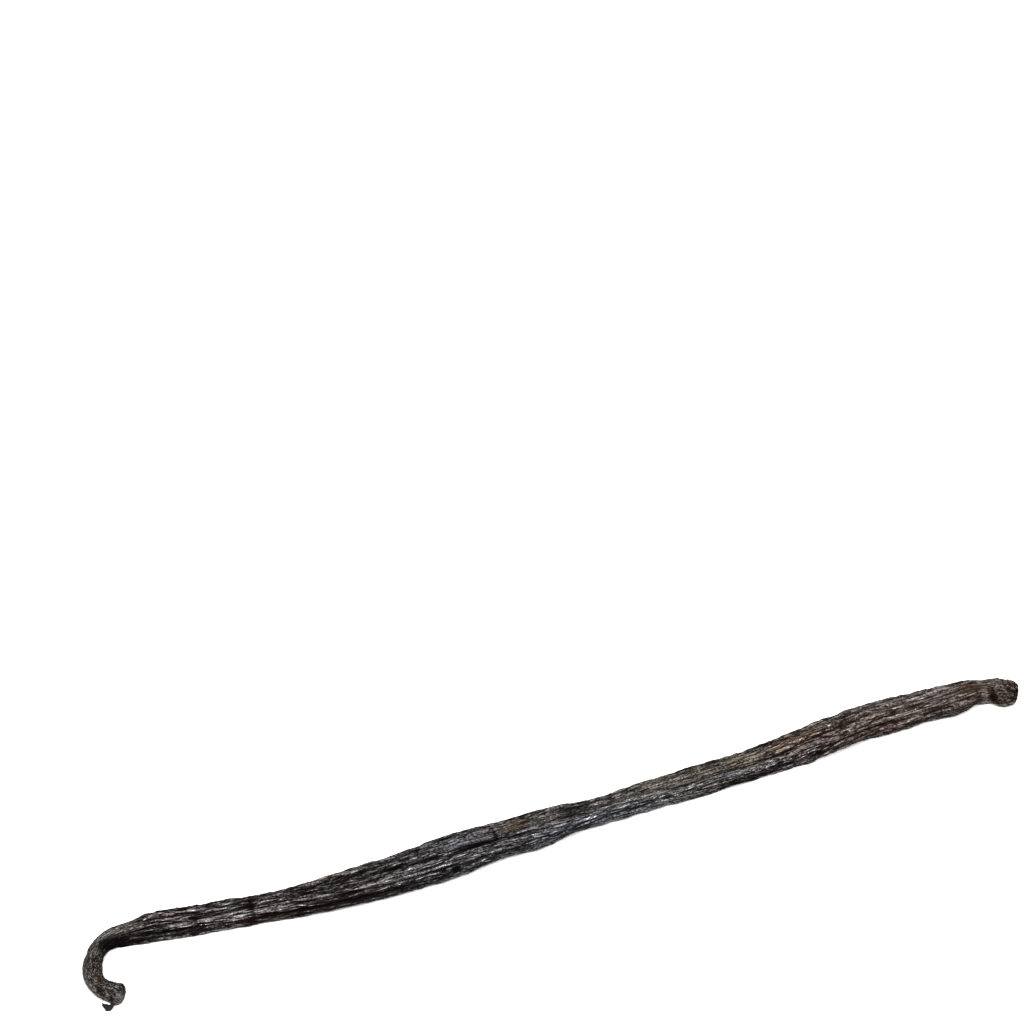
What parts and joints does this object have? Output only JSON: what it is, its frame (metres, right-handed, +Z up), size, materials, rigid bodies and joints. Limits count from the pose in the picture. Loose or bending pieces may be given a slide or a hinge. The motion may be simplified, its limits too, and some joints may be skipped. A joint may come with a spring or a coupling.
{
  "type": "cured vanilla pod",
  "caption": "Long, slender, wrinkled dark-brown cured vanilla pod with a crooked stalk at one end and a small knob at the other; a whole spice to split, scrape or steep.",
  "frame": {"origin": "middle of the pod's footprint, on the surface it lies on", "axes": "+X along the pod from the crooked stalk to the knobbed tip, +Z up, so +Y is the side away from the crook's opening"},
  "size_m": [0.1584, 0.0136, 0.0056],
  "materials": {
    "cured_skin": "oily wrinkled dark brown skin, satin on the crests and dull in the furrows"
  },
  "bodies": {
    "root": {"pod": "cured_skin"}
  },
  "joints": []
}
